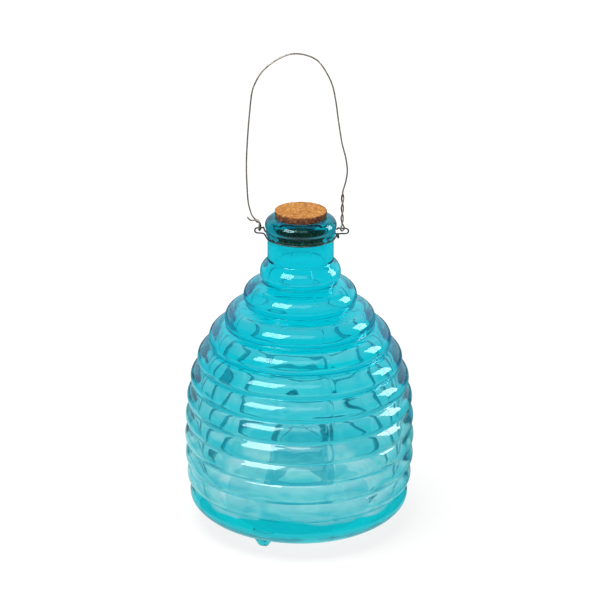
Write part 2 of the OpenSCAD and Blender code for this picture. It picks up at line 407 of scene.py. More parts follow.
        # deep rim, partly painted shade: only where light comes from outside, with a wavy top
        wavy = add_node(tree, "Math", {0: uneven, 1: self.rim_wave_mm * MM, 2: height}, operation="MULTIPLY_ADD")
        over_rim = add_node(tree, "MapRange", {"Value": wavy, **limits("From", self.rim_mm, MM)})
        plain = add_node(tree, "Math", {0: over_rim, 1: facing}, operation="MAXIMUM")
        return add_node(tree, "Mix", {0: plain, 6: linear(self.rim_stain_and_shade_colour), 7: thinned}, data_type="RGBA")

    def material(self) -> Material:
        """Makes the glass.

        Returns:
            Clear glass whose reflections are part stained, which lets spent light straight out.
        """
        material, tree = new_material(self.name)
        facing = add_node(tree, "NewGeometry").outputs["Backfacing"]
        colour = self.colour(tree, facing)
        glass = add_node(tree, "BsdfPrincipled", {
            "Base Color": colour, "Transmission Weight": 1.0, "Roughness": 0.0, "IOR": self.ior})
        once = add_node(tree, "Gamma", {"Color": colour, "Gamma": self.within})
        within = add_node(tree, "BsdfGlass", {"Color": once, "Roughness": 0.0, "IOR": self.ior})
        stained = add_node(tree, "Math", {0: facing, 1: self.stain}, operation="MAXIMUM")
        wall = add_node(tree, "MixShader", {0: stained, 1: glass, 2: within})
        out = add_node(tree, "BsdfTransparent", {"Color": colour})
        surface = add_node(tree, "MixShader", {0: turns_over(tree, self.turns_kept), 1: wall, 2: out})
        add_node(tree, "OutputMaterial", {"Surface": surface})
        return material


CLEAR_GLASS = BlownGlass(
    "clear_blown_glass", "#E6FBFE", "#F4FDFE", "#ECFCFE", "#E6FBFE", "#D8F6FA", "#E6FBFE", painted_reflection_colour="#F4FDFE")
PALE_GLASS = BlownGlass(
    "pale_blown_glass", "#96DEE6", "#B0E8EC", "#94DCE4", "#A2E2E8", "#A2E2E8", "#A2E2E8", turns_kept=0)
BORE_GLASS = BlownGlass(
    "funnel_bore_glass", "#7CD4DE", "#96DEE6", "#78D2DC", "#80D6E0", "#80D6E0", "#58CCD4",
    base_mm=(26.0, 34.0), painted_reflection_colour="#96DEE6")


@dataclass(frozen=True)
class AgglomeratedCork:
    """Cork granules pressed and glued into a rod, then ground to a taper.

    Matt, with tan to brown granules of a millimetre or two, dark glue lines and small open pits. The side is
    painted darker and browner than the top: painted shade, as if the side took less light.
    """

    granule_mm: float = 1.4
    bend: float = 0.6
    speck_mm: float = 0.4
    speck_colour: str = "#4A240E"
    speck_edge: Pair = (0.6, 0.72)
    speck_depth: float = 0.7
    glue_colour: str = "#5A2E12"
    glue_width: float = 0.09
    glue_depth: float = 0.75
    relief_mm: float = 0.3
    relief: float = 0.5
    roughness: float = 0.85
    # heights over which the lit top turns into the painted shade of the side
    shaded_side_mm: Pair = (186.3, 187.2)
    top_ramp: tuple[tuple[float, str], ...] = (
        (0.0, "#9C5822"), (0.25, "#C67E32"), (0.55, "#DA9440"), (0.9, "#E6AE60"))
    shaded_side_ramp: tuple[tuple[float, str], ...] = (
        (0.0, "#3A1404"), (0.3, "#7A340C"), (0.6, "#B05A1C"), (0.9, "#DC9450"))

    def material(self) -> Material:
        """Makes the cork.

        Returns:
            Matt granules with glue lines and specks, in relief.
        """
        material, tree = new_material("agglomerated_cork")
        place = add_node(tree, "TexCoord").outputs["Object"]
        warp = add_node(tree, "TexNoise", {"Vector": place, "Scale": per_metre(self.granule_mm), "Detail": 1.0})
        shift = add_node(tree, "VectorMath", {
            0: warp.outputs["Color"], 1: (self.granule_mm * MM * self.bend,) * 3}, operation="MULTIPLY")
        bent = add_node(tree, "VectorMath", {0: place, 1: shift})
        cells = add_node(tree, "TexVoronoi", {"Vector": bent, "Scale": per_metre(self.granule_mm)})
        grains = add_node(tree, "ValToRGB", {"Fac": cells.outputs["Color"]})
        set_ramp(grains, self.top_ramp)
        # painted shade: a darker, browner copy of the grain colours for the side
        painted_shade_grains = add_node(tree, "ValToRGB", {"Fac": cells.outputs["Color"]})
        set_ramp(painted_shade_grains, self.shaded_side_ramp)
        height = add_node(tree, "SeparateXYZ", {0: place}).outputs["Z"]
        # painted shade share: 1 on the side below the top's edge, 0 on the top
        side = add_node(tree, "MapRange", {
            "Value": height, **limits("From", self.shaded_side_mm, MM), "To Min": 1.0, "To Max": 0.0})
        lit_top_and_shaded_side = add_node(tree, "Mix", {0: side, 6: grains, 7: painted_shade_grains}, data_type="RGBA")
        edges = add_node(tree, "TexVoronoi", {
            "Vector": bent, "Scale": per_metre(self.granule_mm)}, feature="DISTANCE_TO_EDGE")
        glue = add_node(tree, "MapRange", {
            "Value": edges, "From Max": self.glue_width, "To Min": self.glue_depth, "To Max": 0.0})
        lined = add_node(tree, "Mix", {0: glue, 6: lit_top_and_shaded_side, 7: linear(self.glue_colour)}, data_type="RGBA")
        specks = add_node(tree, "TexNoise", {"Vector": place, "Scale": per_metre(self.speck_mm), "Detail": 3.0})
        dots = add_node(tree, "MapRange", {
            "Value": specks, **limits("From", self.speck_edge), "To Max": self.speck_depth})
        colour = add_node(tree, "Mix", {0: dots, 6: lined, 7: linear(self.speck_colour)}, data_type="RGBA")
        bump = add_node(tree, "Bump", {"Height": edges, "Strength": self.relief, "Distance": self.relief_mm * MM})
        cork = add_node(tree, "BsdfPrincipled", {
            "Base Color": colour, "Roughness": self.roughness, "Normal": bump})
        add_node(tree, "OutputMaterial", {"Surface": cork})
        return material


@dataclass(frozen=True)
class WeatheredWire:
    """Soft annealed iron wire, drawn, bent by hand and left to weather.

    Dull grey-brown metal with darker oxide patches a few millimetres long and a weak sheen. The neck wire, which
    lies against the glass, is darker all over.
    """

    name: str = "weathered_iron_wire"
    oxide: str = "#554C42"
    metal: str = "#8A8175"
    worn: str = "#B4ADA1"
    patch_mm: float = 6.0
    patch_stops: tuple[float, ...] = (0.3, 0.5, 0.72)
    metallic: float = 0.8
    roughness: Pair = (0.62, 0.35)

    def material(self) -> Material:
        """Makes the wire's metal.

        Returns:
            Dull metal, rougher where it is oxidised.
        """
        material, tree = new_material(self.name)
        place = add_node(tree, "TexCoord").outputs["Object"]
        patches = add_node(tree, "TexNoise", {
            "Vector": place, "Scale": per_metre(self.patch_mm), "Detail": 4.0, "Roughness": 0.65})
        colour = add_node(tree, "ValToRGB", {"Fac": patches})
        set_ramp(colour, tuple(zip(self.patch_stops, (self.oxide, self.metal, self.worn))))
        rough = add_node(tree, "MapRange", {"Value": patches, **limits("To", self.roughness)})
        metal = add_node(tree, "BsdfPrincipled", {
            "Base Color": colour, "Metallic": self.metallic, "Roughness": rough})
        add_node(tree, "OutputMaterial", {"Surface": metal})
        return material


# the neck wire's finish: darker all over than the bail
DARK_WIRE = WeatheredWire("dark_neck_wire", "#24302E", "#3E4C4A", "#6A726C")


@dataclass
class GlassJar:
    """The one piece of glass: ribbed body, neck, collar, lip, funnel and feet.

    Each pair of waves is the length of a ripple and the seed of its noise. foot_columns is how far the close
    columns reach to each side of a foot and the angle between them, bead_turns the first and last angle and the
    step of the bead's round, and bore_end, funnel_end and mouth_edge are steps in radius and in height.
    """

    body_r: float = 65.5
    ring_count: int = 11
    ring_pitch: float = 11.6
    ring_tube: float = 7.4
    shoulder_rings: int = 2
    shoulder_stretch: float = 2.25
    swell_rings: float = 3.6
    swell_power: float = 1.85
    base_draw: float = 3.0
    draw_rings: int = 3
    base_z: float = 6.0
    base_kick: float = 0.5
    base_band_z: float = 13.0
    base_corner: float = 21.0
    corner_turn: float = -84.0
    corner_gap: float = 2.0
    kick_round: float = 3.0
    wall: float = 3.0
    neck_r: float = 18.5
    neck_wall: float = 4.0
    neck_h: float = 23.2
    collar_out: float = 0.9
    collar_tube: float = 2.6
    lip_out: float = 1.5
    lip_tube: float = 4.75
    lip_step: float = 4.2
    lip_turns: Pair = (96.0, 2.0)
    throat_r: float = 15.0
    funnel_h: float = 37.0
    funnel_flare: float = 13.0
    flare_gap: float = 1.0
    flare_turns: Pair = (-90.0, -178.0)
    inner_flare_turns: Pair = (180.0, 268.0)
    funnel_taper: float = 1.5
    funnel_bead: float = 1.86
    bead_turns: tuple[float, float, float] = (215.0, -35.0, 12.0)
    bore_end: Pair = (0.05, 2.2)
    funnel_end: Pair = (0.1, 3.0)
    foot_turns: tuple[float, ...] = (243.0, 3.0, 123.0)
    foot_r: float = 4.2
    foot_lean: float = 28.0
    foot_flat: float = 0.7
    foot_pcr: float = 43.0
    seat_end_r: float = 12.85
    seat_end_z: float = 170.95
    seat_slope: float = 2.0 / 16.5
    mouth_drop: float = 0.6
    mouth_edge: Pair = (0.12, 0.4)
    groove_round: float = 0.55
    neck_round: float = 1.1
    inner_blur: float = 0.9
    blur_reach: float = 4.0
    inner_ends: Pair = (3.0, 2.0)
    collar_root: float = 6.0
    collar_fall: float = 0.5
    neck_blend: float = 8.0
    edge_blend: Pair = (6.0, 12.0)
    outline_step: float = 0.3
    inner_step: float = 0.25
    bend_step: float = 10.0
    long_step: float = 3.0
    foot_step: float = 0.9
    foot_dense_h: float = 2.0
    foot_draw_h: float = 4.0
    base_step: float = 0.8
    floor_step: float = 1.5
    column_turn: float = 2.5
    least_turn: float = 0.3
    foot_columns: Pair = (11.25, 1.25)
    foot_root: float = 0.7
    foot_reach: float = 3.0
    outer_waves: Pair = (26.0, 1.0)
    inner_waves: Pair = (22.0, 7.0)
    fine_waves: Pair = (8.8, 11.0)
    fine_share: float = 0.4
    seam_turns: Pair = (-72.5, 107.5)
    seam_half: float = 0.7
    seam_rise: float = 0.16
    seam_stop: float = 4.0

    def ring_z(self, k: int) -> float:
        """Height of ring k, counted down from the neck."""
        steps = (self.ring_count - k) * self.ring_pitch + max(0, self.shoulder_rings - k) * self.shoulder_stretch
        return self.base_z + self.base_band_z + steps

    def ring_r(self, k: int) -> float:
        """Works out how far a ring stands out.

        Args:
            k: the ring's number, counted down from the neck.

        Returns:
            The radius of its crest.
        """
        swell = 1 - math.exp(-((k + 1) / self.swell_rings) ** self.swell_power)
        draw_in = self.base_draw * (max(0, k - self.ring_count + self.draw_rings) / self.draw_rings) ** 2
        return self.neck_r + (self.body_r - self.neck_r) * swell - draw_in

    @property
    def collar_z(self) -> float:
        """Height of the collar's middle."""
        return self.ring_z(0) + self.neck_h

    @property
    def lip_z(self) -> float:
        """Height of the lip's middle."""
        return self.collar_z + self.lip_step

    @property
    def edge_fall(self) -> float:
        """Sine of the slope at which the rounded edge of the base runs into the base band's ring."""
        return (self.base_corner - self.base_band_z) / (self.base_corner - self.ring_tube)

    @property
    def corner_c(self) -> Pair:
        """Middle of the rounded edge under the base band, as radius and height."""
        reach = (self.base_corner - self.ring_tube) * math.sqrt(1 - self.edge_fall ** 2)
        return self.ring_r(self.ring_count) - self.ring_tube - reach, self.base_z + self.base_corner

    def outer_radius(self, z: np.ndarray) -> np.ndarray:
        """Outer radius of the body, neck, collar and lip.

        Args:
            z: heights.

        Returns:
            The radius at each height.
        """
        def bulge(middle_r: float, middle_z: float, tube: float) -> np.ndarray:
            """Radius of a round ring, falling off steeply above and below it."""
            room = tube ** 2 - (z - middle_z) ** 2
            return np.where(room > 0, middle_r + np.sqrt(np.maximum(room, 0)), middle_r + room / tube)

        rings = [bulge(self.ring_r(k) - self.ring_tube, self.ring_z(k), self.ring_tube)
                 for k in range(self.ring_count + 1)]
        edge_top_z = self.ring_z(self.ring_count) - self.ring_tube * self.edge_fall
        edge = bulge(*self.corner_c, self.base_corner)
        body = np.where(z < edge_top_z, edge, soft_max(np.array(rings), self.groove_round))
        neck_top = self.neck_r - self.collar_fall * np.maximum(0, z - self.collar_z)
        neck = np.where(z > self.ring_z(0), neck_top, 0)
        stem = soft_max(np.array([body, neck]), self.neck_round)
        collar = bulge(self.neck_r + self.collar_out - self.collar_tube, self.collar_z, self.collar_tube)
        lip = bulge(self.neck_r + self.lip_out - self.lip_tube, self.lip_z, self.lip_tube)
        return soft_max(np.array([stem, collar, lip]), self.groove_round)

    def inner_wall(self) -> np.ndarray:
        """Works out the section of the inside, softer than the outside.

        Returns:
            Radius and height of its points, from the base's edge up to the stopper's seat.
        """
        step = self.inner_step
        z = np.arange(self.base_z, self.collar_z + self.inner_ends[1], step)
        outer = self.outer_radius(z)
        outer = np.where(z > self.collar_z - self.collar_root, self.neck_r, outer)
        blur_end = self.blur_reach * self.inner_blur
        reach = np.arange(-blur_end, blur_end + step, step)
        weights = np.exp(-0.5 * (reach / self.inner_blur) ** 2)
        pad = len(reach) // 2
        padded = np.pad(outer, pad, mode="edge")
        soft = np.convolve(padded, weights / weights.sum(), mode="valid")[:len(z)]
        to_neck = smooth_step(z, self.ring_z(1), self.ring_z(0) + self.neck_blend)
        thick = self.wall + (self.neck_wall - self.wall) * to_neck
        middle_r, middle_z = self.corner_c
        radius = self.base_corner - self.wall
        corner = middle_r + np.sqrt(np.maximum(radius ** 2 - (z - middle_z) ** 2, 0))
        blend = smooth_step(z, self.base_z + self.edge_blend[0], self.base_z + self.edge_blend[1])
        inside = corner + (soft - thick - corner) * blend
        keep = z > self.base_z + self.wall + self.inner_ends[0]
        return np.stack([inside, z], 1)[keep]

    def section(self) -> list[tuple[np.ndarray, Skin]]:
        """Closed half section of the glass, from the mouth down the outside and back up the inside.

        Returns:
            Its stretches in order, each with the skin that it belongs to.
        """
        lip_c = (self.neck_r + self.lip_out - self.lip_tube, self.lip_z)
        middle_r, middle_z = self.corner_c
        face_z = self.base_z + self.base_kick
        floor_z = face_z + self.wall
        flare_z = face_z + self.funnel_flare
        flare_r = self.throat_r + self.funnel_taper + self.funnel_flare
        top_z = self.base_z + self.funnel_h

        edge_z = self.base_z + self.edge_blend[0]
        edge_turn = math.degrees(math.asin((edge_z - middle_z) / self.base_corner))
        wall_z = np.arange(self.lip_z - self.outline_step, edge_z, -self.outline_step)
        outside = np.concatenate([
            arc(lip_c, self.lip_tube, *self.lip_turns),
            np.stack([self.outer_radius(wall_z), wall_z], 1),
            arc(self.corner_c, self.base_corner, edge_turn, self.corner_turn),
        ])
        base_r = np.arange(middle_r, flare_r + self.flare_gap, -self.base_step)
        kick = smooth_step(-base_r, -middle_r, self.kick_round - flare_r)
        underside = np.stack([base_r, self.base_z + self.base_kick * kick], 1)
        bore = np.concatenate([
            arc((flare_r, flare_z), self.funnel_flare, *self.flare_turns),
            [[self.throat_r + self.bore_end[0], top_z - self.bore_end[1]]],
        ])
        middle = self.throat_r + self.wall / 2
        floor_r = np.arange(flare_r + self.flare_gap, middle_r, self.floor_step)
        inner = self.inner_wall()
        corner_end = math.degrees(math.asin((inner[0, 1] - middle_z) / (self.base_corner - self.wall)))
        inside = np.concatenate([
            arc((middle, top_z), self.funnel_bead, *self.bead_turns),
            [[self.throat_r + self.wall + self.funnel_end[0], top_z - self.funnel_end[1]]],
            arc((flare_r, flare_z), self.funnel_flare - self.wall, *self.inner_flare_turns),
            np.stack([floor_r, floor_z - self.base_kick * smooth_step(floor_r, flare_r, middle_r)], 1),
            arc(self.corner_c, self.base_corner - self.wall, -90, corner_end - self.corner_gap),
            inner,
        ])
        seat_low_z = self.lip_z - self.lip_tube / 2
        seat_top_z = self.lip_z + self.lip_tube - self.mouth_drop
        seat = np.array([
            [self.seat_r(seat_low_z), seat_low_z],
            [self.seat_r(self.lip_z), self.lip_z],
            [self.seat_r(seat_top_z), seat_top_z],
            [self.seat_r(seat_top_z) + self.mouth_edge[0], seat_top_z + self.mouth_edge[1]],
        ])
        return [(outside, Skin.OUTSIDE), (underside, Skin.UNDERSIDE), (bore, Skin.BORE), (inside, Skin.INSIDE),
                (seat, Skin.SEAT)]

    def seat_r(self, z: float) -> float:
        """Radius of the stopper's seat at a height."""
        return self.seat_end_r + (z - self.seat_end_z) * self.seat_slope

    def thin_out(self, points: np.ndarray) -> np.ndarray:
        """Takes points off a dense outline where it runs straight and away from the feet.

        Args:
            points: the outline.

        Returns:
            Points evenly spaced in turning and length together, with the first and the last kept.
        """
        step = np.diff(points, axis=0)
        length = np.linalg.norm(step, axis=1)
        heading = np.unwrap(np.arctan2(step[:, 1], step[:, 0]))
        bend = np.concatenate([[0], np.abs(np.diff(heading))])
        reach = np.where(points[:-1, 1] < self.base_z + self.foot_dense_h, self.foot_step, self.long_step)
        cost = np.concatenate([[0], np.cumsum(np.degrees(bend) / self.bend_step + length / reach)])
        count = math.ceil(cost[-1]) + 1
        wanted = np.linspace(0, cost[-1], count)
        return np.stack([np.interp(wanted, cost, points[:, i]) for i in (0, 1)], 1)

    def turns(self) -> np.ndarray:
        """Divides the round of the jar.

        Returns:
            Angles of the columns, closer together at the feet and the mould's seams.
        """
        reach, step = self.foot_columns
        angles = list(np.arange(0, 360, self.column_turn))
        for foot in self.foot_turns:
            angles += [foot + d for d in np.arange(-reach, reach + step / 2, step)]
        for seam in self.seam_turns:
            angles += [seam + d * self.seam_half for d in (-1, -0.5, 0, 0.5, 1)]
        angles = sorted(a % 360 for a in angles)
        return np.array([a for a, b in zip(angles, angles[1:] + [angles[0] + 360]) if b - a > self.least_turn])

    def foot_drop(self, point: np.ndarray) -> float:
        """How far the underside is drawn down into a foot at a point.

        Args:
            point: a point of the smooth underside.

        Returns:
            The drop, with a soft root where the foot meets the base.
        """
        lowest = point[2]
        for turn in self.foot_turns:
            angle = math.radians(turn)
            middle = (self.foot_pcr * math.cos(angle), self.foot_pcr * math.sin(angle))
            away = math.hypot(point[0] - middle[0], point[1] - middle[1])
            if away < self.foot_reach * self.foot_r:
                lean = math.radians(self.foot_lean)
                round_r = min(away, self.foot_r * math.cos(lean))
                tip = self.foot_r - self.foot_flat - math.sqrt(self.foot_r ** 2 - round_r ** 2)
                mound = max(0, tip) + (away - round_r) / math.tan(lean)
                joined = soft_max(np.array([[-point[2]], [-mound]]), self.foot_root)
                lowest = min(lowest, -float(joined[0]))
        return point[2] - max(0.0, lowest)

    def build(self, outside: Material, inside: Material, below: Material, bore: Material) -> Object:
        """Turns the section about the axis and works in ripples, seams and feet.

        Args:
            outside: the finish of the outer surface.
            inside: the finish of the inner surface and the stopper's seat.
            below: the finish of the base's underside and the feet.
            bore: the finish of the funnel's bore.

        Returns:
            The jar, riding on its body in place of the plain solid.
        """
        stretches = [(self.thin_out(points), skin) for points, skin in self.section()]
        profile = np.concatenate([points for points, skin in stretches])
        skins = [skin for points, skin in stretches for _ in points]
        turns = self.turns()
        rows, columns = len(profile), len(turns)
        ahead = np.roll(profile, -1, 0) - np.roll(profile, 1, 0)
        normal = unit(np.stack([ahead[:, 1], -ahead[:, 0]], 1))
        points = np.zeros((columns, rows, 3))
        seams = np.radians(self.seam_turns)
        for c, turn in enumerate(np.radians(turns)):
            off_seam = min(abs(math.remainder(turn - s, math.tau)) for s in seams)
            seam = max(0, 1 - off_seam / math.radians(self.seam_half))
            for r in range(rows):
                skin = skins[r]
                place = turned(profile[r], turn)
                waves = self.inner_waves if skin is Skin.INSIDE else self.outer_waves
                shift = skin.value * ripple(place, *waves)
                if skin is Skin.INSIDE and profile[r, 1] < self.ring_z(1):
                    shift += self.fine_share * skin.value * ripple(place, *self.fine_waves)
                if skin is Skin.OUTSIDE and profile[r, 1] < self.collar_z - self.seam_stop:
                    shift += self.seam_rise * seam
                point = turned(profile[r] + shift * normal[r], turn)
                if profile[r, 1] < self.base_z + self.foot_draw_h and skin is not Skin.INSIDE:
                    point[2] -= self.foot_drop(point)
                points[c, r] = point
        jar = mesh_object("blown_glass_jar", points.reshape(-1, 3), grid_faces(columns, rows), outside)
        for finish in (inside, below, bore):
            jar.data.materials.append(finish)
        slots = {Skin.INSIDE: 1, Skin.SEAT: 1, Skin.UNDERSIDE: 2, Skin.BORE: 3}
        jar.data.polygons.foreach_set("material_index", [slots.get(skin, 0) for skin in skins] * columns)
        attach(jar, "jar")
        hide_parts("glass_jar")
        return jar


@dataclass
class CorkStopper:
    """The tapered stopper, with a granular ground surface.

    The depths of seams, holes and grit are shares of pit_mm, and the widths of seams and holes shares of
    granule_mm. hole_draw is the scale and the shift of the draw that picks the missing granules.
    """

    top_r: float = 14.7
    end_r: float = 12.7
    height: float = 16.5
    top_z: float = 187.45
    edge_round: float = 0.7
    cap_r: float = 0.25
    pit_mm: float = 0.34
    granule_mm: float = 1.7
    seam_width: float = 0.35
    seam_depth: float = 0.55
    hole_width: float = 0.55
    hole_depth: float = 1.6
    hole_from: float = 0.86
    hole_draw: tuple[float, ...] = (3.1, 5.3, 1.7, 9.1)
    grit_waves: Pair = (0.9, 3.0)
    grit_depth: float = 0.35
    deepest: float = 1.8
    columns: int = 168
    spacing: float = 0.55

    def section(self) -> np.ndarray:
        """Works out the half section.

        Returns:
            Evenly spaced points from the top's middle down to the lower end's middle.
        """
        end_z = self.top_z - self.height
        r = self.edge_round
        outline = np.concatenate([
            [[self.cap_r, self.top_z]],
            arc((self.top_r - r, self.top_z - r), r, 90, 0, 30),
            arc((self.end_r - r, end_z + r), r, 0, -90, 30),
            [[self.cap_r, end_z]],
        ])
        step = np.concatenate([[0], np.cumsum(np.linalg.norm(np.diff(outline, axis=0), axis=1))])
        wanted = np.linspace(0, step[-1], int(step[-1] / self.spacing))
        return np.stack([np.interp(wanted, step, outline[:, i]) for i in (0, 1)], 1)

    def pit(self, place: np.ndarray) -> float:
        """Works out seams between granules, and here and there a missing one.

        Args:
            place: a point of the smooth surface.

        Returns:
            How far the surface is sunk there.
        """
        near, spots = noise.voronoi(Vector(place / self.granule_mm))
        seam = max(0.0, 1 - (near[1] - near[0]) / self.seam_width)
        lost = noise.cell(spots[0] * self.hole_draw[0] + Vector(self.hole_draw[1:]))
        hole = self.hole_depth * max(0.0, 1 - near[0] / self.hole_width) if lost > self.hole_from else 0.0
        grit = self.grit_depth * (0.5 + 0.5 * ripple(place, *self.grit_waves))
        return self.pit_mm * min(self.deepest, self.seam_depth * seam + hole + grit)

    def build(self, cork: Material) -> Object:
        """Turns the section and sinks the pits into it.

        Args:
            cork: the finish.

        Returns:
            The stopper, riding on its body in place of the plain solid.
        """
        profile = self.section()
        rows = len(profile)
        ahead = np.gradient(profile, axis=0)
        inward = unit(np.stack([ahead[:, 1], -ahead[:, 0]], 1))
        points = []
        for turn in np.linspace(0, math.tau, self.columns, endpoint=False):
            for spot, into in zip(profile, inward):
                points.append(turned(spot + self.pit(turned(spot, turn)) * into, turn))
        faces = grid_faces(self.columns, rows, round_rows=False)
        faces.append(tuple(c * rows for c in range(self.columns)))
        faces.append(tuple(c * rows + rows - 1 for c in range(self.columns)))
        stopper = mesh_object("ground_cork_stopper", np.array(points), faces, cork)
        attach(stopper, "stopper")
        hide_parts("cork_stopper")
        return stopper


@dataclass
class WireHanger:
    """The wire round the neck and the bail that hangs on its eyes."""

    wire_d: float = 0.9
    strand_gap: float = 0.5
    groove_r: float = 19.15
    groove_z: float = 172.055
    hinge_rise: float = 4.4
    lip_r: float = 20.0
    side_play: float = 0.4
    eye_play: float = 0.2
    pin_bend: float = 0.9
    right_spread: float = 1.0
    left_spread: float = 0.5
    twist_r: float = 0.56
    twist_steps: int = 6
    twist_lift: float = 2.2
    short_half_turns: int = 1
    long_half_turns: int = 3
    long_twist_h: float = 20.5
    front_turns: Pair = (-34.0, -146.0)
    back_turns: Pair = (146.0, 42.0)
    neck_step: float = 9.0
    sides: int = 10
    spacing: float = 0.35
    cut_share: float = 0.7
    left_lean: Pair = (2.5, 4.8)

    left_arm: ClassVar[tuple[Pair, ...]] = (
        (4.1, 6.8), (5.4, 10.2), (6.4, 14.5), (7, 21.4), (7.5, 36), (6.9, 51.5), (5.7, 67), (4.4, 78.3),
        (3.2, 82.2), (-0.7, 89.3), (-7.5, 95.5), (-14.6, 99.2))
    right_arm: ClassVar[tuple[Pair, ...]] = (
        (-26.5, 100), (-20, 98.9), (-14.6, 96), (-10.7, 91), (-6.8, 83.1), (-4.7, 74.1), (-3, 62.2),
        (-0.9, 49.6), (1.4, 40.4), (2.2, 33.5), (1.5, 27.7))
    tail: ClassVar[tuple[Pair, ...]] = ((7.1, 6.6), (5.9, 5.2), (4.4, 4.5))

    def __post_init__(self) -> None:
        """Works out the places that the two wires share."""
        self.strand = self.wire_d + self.strand_gap
        self.hinge_z = self.groove_z + self.hinge_rise
        self.eye_h = 2 * self.strand + self.eye_play
        self.low_z = self.hinge_z - self.eye_h
        self.pin_in = self.lip_r + self.wire_d / 2 + self.strand_gap
        loop_in = self.pin_in + self.wire_d + self.side_play
        self.loop = {Side.RIGHT: loop_in + self.right_spread, Side.LEFT: loop_in + self.left_spread}
        self.spread = {Side.RIGHT: self.right_spread, Side.LEFT: self.left_spread}
        self.twist_start = self.twist_lift * self.strand

    def eye(self, side: Side) -> list[tuple[float, float, float]]:
        """Works out an eye of the neck wire.

        Args:
            side: the side that it is on.

        Returns:
            Points of the straight pin above, the bend, and the strand back below it.
        """
        s = side.value
        pin_out = self.loop[side] + self.spread[side] + self.wire_d / 2 + self.side_play
        bend = arc((self.pin_in + self.pin_bend, self.pin_bend), self.pin_bend, 180, 270, 45)
        turn = arc((pin_out, self.hinge_z - self.eye_h / 2), self.eye_h / 2, 60, -60, 30)
        return [
            *[(s * x, y, self.hinge_z) for x, y in bend],
            (s * (self.pin_in + 2 * self.pin_bend), 0, self.hinge_z),
            (s * pin_out, 0, self.hinge_z),
            *[(s * x, 0, z) for x, z in turn],
            (s * pin_out, 0, self.low_z),
            (s * (self.pin_in + 1.2), -0.2, self.low_z),
        ]

    def front_lead(self, side: Side) -> list[tuple[float, float, float]]:
        """Way of the neck wire from an eye's lower strand round to the front of the neck."""
        s = side.value
        return [
            (s * (self.pin_in - 0.6), -2.2, self.low_z + 0.2),
            (s * (self.pin_in - 1.6), -5, self.low_z - 0.35),
            (s * (self.groove_r - 1.2), -8, self.groove_z + 0.1),
        ]

    def neck_route(self) -> np.ndarray:
        """Works out the route of the neck wire.

        Returns:
            Points of the tucked end, right eye, front, left eye, back and hooked end.
        """
        gr, gz, pin, low = self.groove_r, self.groove_z, self.pin_in, self.low_z
        hook_z = low - self.strand - 0.1
        front = [(x, y, gz) for x, y in arc((0, 0), gr, *self.front_turns, self.neck_step)]
        back = [(x, y, gz) for x, y in arc((0, 0), gr, *self.back_turns, self.neck_step)]
        return np.array([
            (gr + 0.9, 4.6, self.hinge_z - 2.2), (pin - 0.1, 2.4, self.hinge_z - 0.6),
            *self.eye(Side.RIGHT), *self.front_lead(Side.RIGHT), *front,
            *reversed(self.front_lead(Side.LEFT)), *reversed(self.eye(Side.LEFT)),
            (0.2 - pin, 2.5, self.hinge_z - 0.6), (-gr - 0.4, 4.6, gz + 0.5), *back,
            (gr + 0.6, 6.4, gz - 0.9), (pin - 0.1, 3, low - 1.1), (pin - 0.4, -0.6, hook_z),
            (pin - 0.2, -2.9, hook_z), (pin + 0.1, -4.3, low - 0.7), (pin - 0.1, -4.6, low + 0.9),
        ])

    def place(self, side: Side, spot: Pair, y: float = 0.0) -> np.ndarray:
        """Point of the bail, from its distance out from a loop and its height over the hinge."""
        return np.array([side.value * (self.loop[side] + spot[0]), y, self.hinge_z + spot[1]])

    def twist(self, low: np.ndarray, high: np.ndarray, half_turns: int, phase: float) -> list[np.ndarray]:
        """One strand of a twist about the line from low to high.

        Args:
            low: start of the line.
            high: end of the line.
            half_turns: how often the two strands cross.
            phase: angle of the strand at low, in degrees.

        Returns:
            The strand's points from low to high.
        """
        along = unit(high - low)
        across = np.array([along[2], 0, -along[0]])
        steps = self.twist_steps * half_turns
        points = []
        for i in range(steps + 1):
            a = math.radians(phase + 180 * half_turns * i / steps)
            off = math.cos(a) * across + math.sin(a) * np.array([0, 1, 0])
            points.append(low + (high - low) * i / steps + self.twist_r * off)
        return points

    def pin_loop(self, side: Side) -> list[np.ndarray]:
        """Half loop of the bail under a pin, from the front strand to the back one."""
        middle, spread = side.value * self.loop[side], self.spread[side]
        return [np.array([middle + spread * x, self.strand * x, self.hinge_z + self.strand * z])
                for x, z in arc((0, 0), 1, 180, 360, 22.5)]

    def bail_route(self) -> np.ndarray:
        """Works out the route of the bail.

        Returns:
            Points of the free tail, short twist, left loop, arms, long twist, right loop and end.
        """
        left_low = self.place(Side.LEFT, (0.3, self.twist_start))
        left_high = self.place(Side.LEFT, self.left_lean)
        right_low = self.place(Side.RIGHT, (-0.3, self.twist_start))
        right_high = self.place(Side.RIGHT, (-0.2, self.long_twist_h))
        return np.array([
            *[self.place(Side.LEFT, spot, -self.strand / 2) for spot in self.tail],
            *reversed(self.twist(left_low, left_high, self.short_half_turns, 90)),
            *reversed(self.pin_loop(Side.LEFT)),
            *self.twist(left_low, left_high, self.short_half_turns, -90),
            *[self.place(Side.LEFT, spot) for spot in self.left_arm],
            *[self.place(Side.RIGHT, spot) for spot in self.right_arm],
            *reversed(self.twist(right_low, right_high, self.long_half_turns, -90)),
            *self.pin_loop(Side.RIGHT),
            *self.twist(right_low, right_high, self.long_half_turns, 90),
        ])

    def smooth(self, route: np.ndarray) -> np.ndarray:
        """Runs a centripetal Catmull-Rom curve through a route.

        Args:
            route: points to pass through.

        Returns:
            Points about one spacing apart along the curve.
        """
        def mix(low: int, high: int, first: np.ndarray, last: np.ndarray) -> np.ndarray:
            """Point between two others, at the share of t between two knots."""
            return ((knots[high] - t) * first + (t - knots[low]) * last) / (knots[high] - knots[low])

